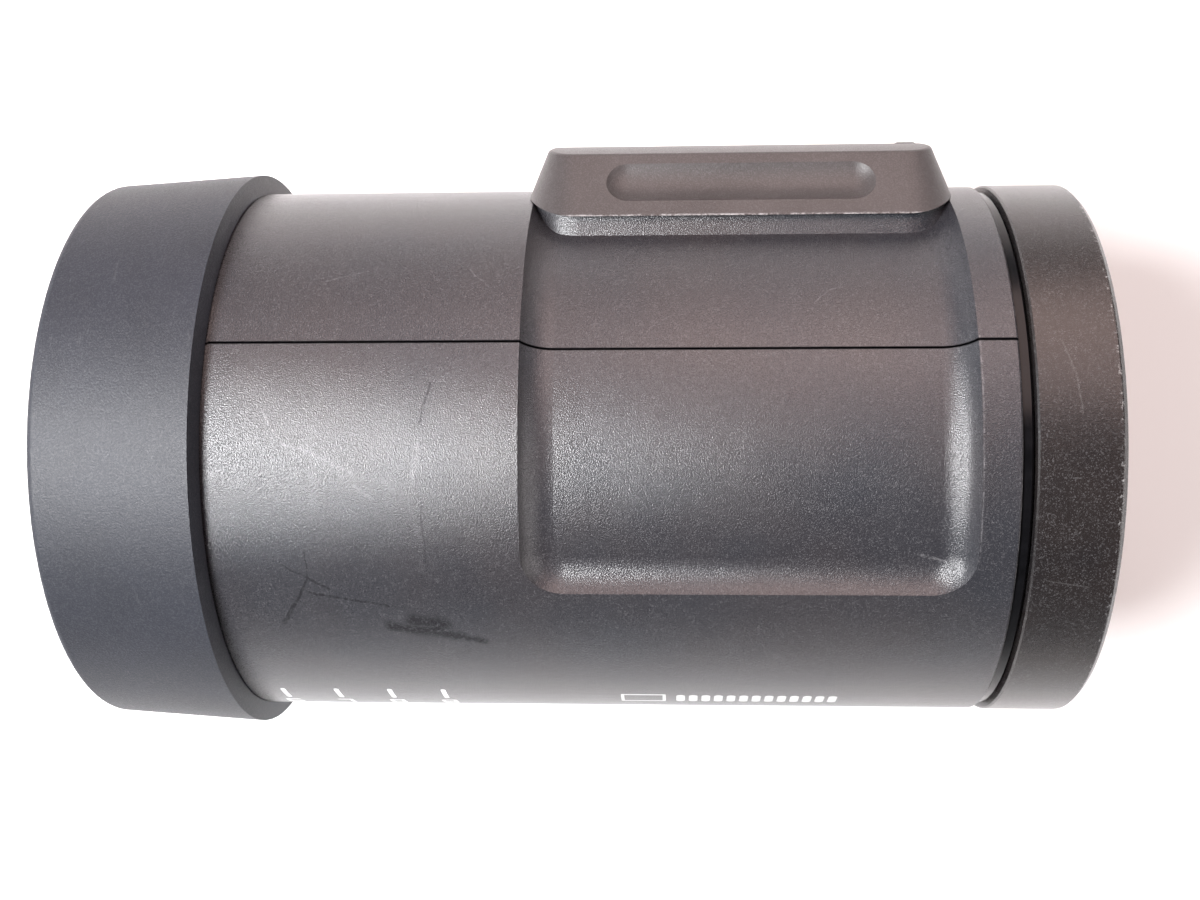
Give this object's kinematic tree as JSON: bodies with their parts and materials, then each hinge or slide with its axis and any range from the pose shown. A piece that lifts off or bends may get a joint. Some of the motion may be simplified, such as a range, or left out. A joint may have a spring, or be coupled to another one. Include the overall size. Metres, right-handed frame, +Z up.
{
  "type": "monolight strobe",
  "caption": "Round battery-powered studio flash head with a push-on front cap, a clip-in side battery, finger scoops, a recessed rear control panel and a threaded stand socket.",
  "frame": {"origin": "centre of the mouth of the threaded stand socket, in the stand plate on the underside", "axes": "+X from the lamp to the control panel along the lamp's axis, +Y to the battery side, +Z up in use"},
  "size_m": [0.181, 0.1123, 0.1072],
  "materials": {
    "housing_paint": "fine metallic texture paint, satin",
    "cap_plastic": "fine-grained moulded plastic, matte",
    "bezel_plastic": "moulded, matte",
    "black_steel": "black oxide",
    "frosted_glass": "acid-etched inside, polished outside",
    "silicone": "soft silicone",
    "polished_aluminium": "dimpled, bright anodised",
    "quartz_glass": "clear tube",
    "nickel": "nickel plated",
    "ceramic": "glazed white ceramic",
    "steel": "zinc plated",
    "led_dome": "silicone dome over yellow phosphor",
    "anodised_aluminium": "black anodised",
    "sheet_aluminium": "folded sheet, plain",
    "stand_metal": "die cast, black painted",
    "brass": "machined",
    "fan_plastic": "black moulded",
    "capacitor_sleeve": "printed film sleeve, plain",
    "circuit_board": "green solder mask",
    "ferrite": "sintered ferrite",
    "copper": "enamelled wire",
    "epoxy": "moulded epoxy",
    "gloss_ring": "polished black",
    "rear_paint": "fine texture paint, satin",
    "display_face": null,
    "button_rubber": "moulded silicone",
    "panel_plastic": "fine satin",
    "window_glass": "tinted, polished",
    "dial_metal": "turned, black anodised",
    "battery_paint": "soft matte",
    "cell_sleeve": "film-sleeved steel can",
    "gauge_lens": "translucent green",
    "latch_plastic": "moulded, ribbed"
  },
  "bodies": {
    "housing": {"main_shell": "housing_paint", "battery_side_shell": "housing_paint", "front_bezel": "bezel_plastic", "bezel_screws": "black_steel", "front_glass": "frosted_glass", "glass_gasket": "silicone", "reflector": "polished_aluminium", "flash_tube": "quartz_glass", "tube_electrodes": "nickel", "lamp_base": "ceramic", "lamp_screws": "steel", "led_board": "ceramic", "led_lens": "led_dome", "led_heat_sink": "anodised_aluminium", "front_bulkhead": "sheet_aluminium", "rear_bulkhead": "sheet_aluminium", "spine_plate": "sheet_aluminium", "stand_plate": "stand_metal", "stand_screws": "black_steel", "stand_insert": "brass", "fan_frame": "fan_plastic", "fan_screws": "steel", "flash_capacitors": "capacitor_sleeve", "capacitor_board": "circuit_board", "capacitor_cradle": "fan_plastic", "power_board": "circuit_board", "charging_transformer": "ferrite", "transformer_winding": "copper", "power_transistors": "epoxy", "trigger_coil": "epoxy", "vent_ring": "gloss_ring", "rear_ring": "rear_paint", "rear_posts": "brass", "rear_screws": "steel", "control_board": "circuit_board", "display_module": "display_face", "control_panel": "panel_plastic", "display_window": "window_glass", "dial_encoder": "epoxy", "battery_bay": "fan_plastic", "bay_connector": "epoxy"},
    "front_cap": {"front_cap": "cap_plastic"},
    "battery": {"battery_case": "battery_paint", "battery_tub": "fan_plastic", "battery_socket": "epoxy", "battery_cells": "cell_sleeve", "cell_straps": "nickel", "battery_board": "circuit_board", "gauge_board": "circuit_board", "gauge_lights": "gauge_lens", "latch_spring": "steel"},
    "battery_latch": {"battery_latch": "latch_plastic"},
    "gauge_button": {"gauge_button": "button_rubber"},
    "test_button": {"test_button": "button_rubber"},
    "model_button": {"model_button": "button_rubber"},
    "settings_button": {"settings_button": "button_rubber"},
    "dial_plunger": {"dial_plunger": "fan_plastic"},
    "dial": {"dial_shaft": "steel", "dial_knob": "dial_metal"},
    "fan_rotor": {"fan_rotor": "fan_plastic"}
  },
  "joints": [
    {"name": "front_cap_slide", "type": "slide", "parent": "housing", "child": "front_cap", "axis": [-1, 0, 0], "range_m": [0, 0.09]},
    {"name": "battery_slide", "type": "slide", "parent": "housing", "child": "battery", "axis": [0, 1, 0], "range_m": [0, 0.045]},
    {"name": "battery_latch_slide", "type": "slide", "parent": "battery", "child": "battery_latch", "axis": [-1, 0, 0], "range_m": [0, 0.0016], "stiffness_N_per_m": 300, "springref_m": -0.003, "deforming": ["latch_spring"]},
    {"name": "gauge_button_press", "type": "slide", "parent": "battery", "child": "gauge_button", "axis": [0, -1, 0], "range_m": [0, 0.0005], "stiffness_N_per_m": 600, "springref_m": -0.0008},
    {"name": "test_button_press", "type": "slide", "parent": "housing", "child": "test_button", "axis": [-1, 0, 0], "range_m": [0, 0.0008], "stiffness_N_per_m": 600, "springref_m": -0.0008},
    {"name": "model_button_press", "type": "slide", "parent": "housing", "child": "model_button", "axis": [-1, 0, 0], "range_m": [0, 0.0008], "stiffness_N_per_m": 600, "springref_m": -0.0008},
    {"name": "settings_button_press", "type": "slide", "parent": "housing", "child": "settings_button", "axis": [-1, 0, 0], "range_m": [0, 0.0008], "stiffness_N_per_m": 600, "springref_m": -0.0008},
    {"name": "dial_press", "type": "slide", "parent": "housing", "child": "dial_plunger", "axis": [-1, 0, 0], "range_m": [0, 0.0006], "stiffness_N_per_m": 600, "springref_m": -0.0008},
    {"name": "dial_turn", "type": "hinge", "parent": "dial_plunger", "child": "dial", "pos_m": [0.058, 0, 0.0282], "axis": [1, 0, 0], "continuous": true},
    {"name": "fan_spin", "type": "hinge", "parent": "housing", "child": "fan_rotor", "pos_m": [0.033, -0.01, 0.0472], "axis": [1, 0, 0], "continuous": true}
  ]
}
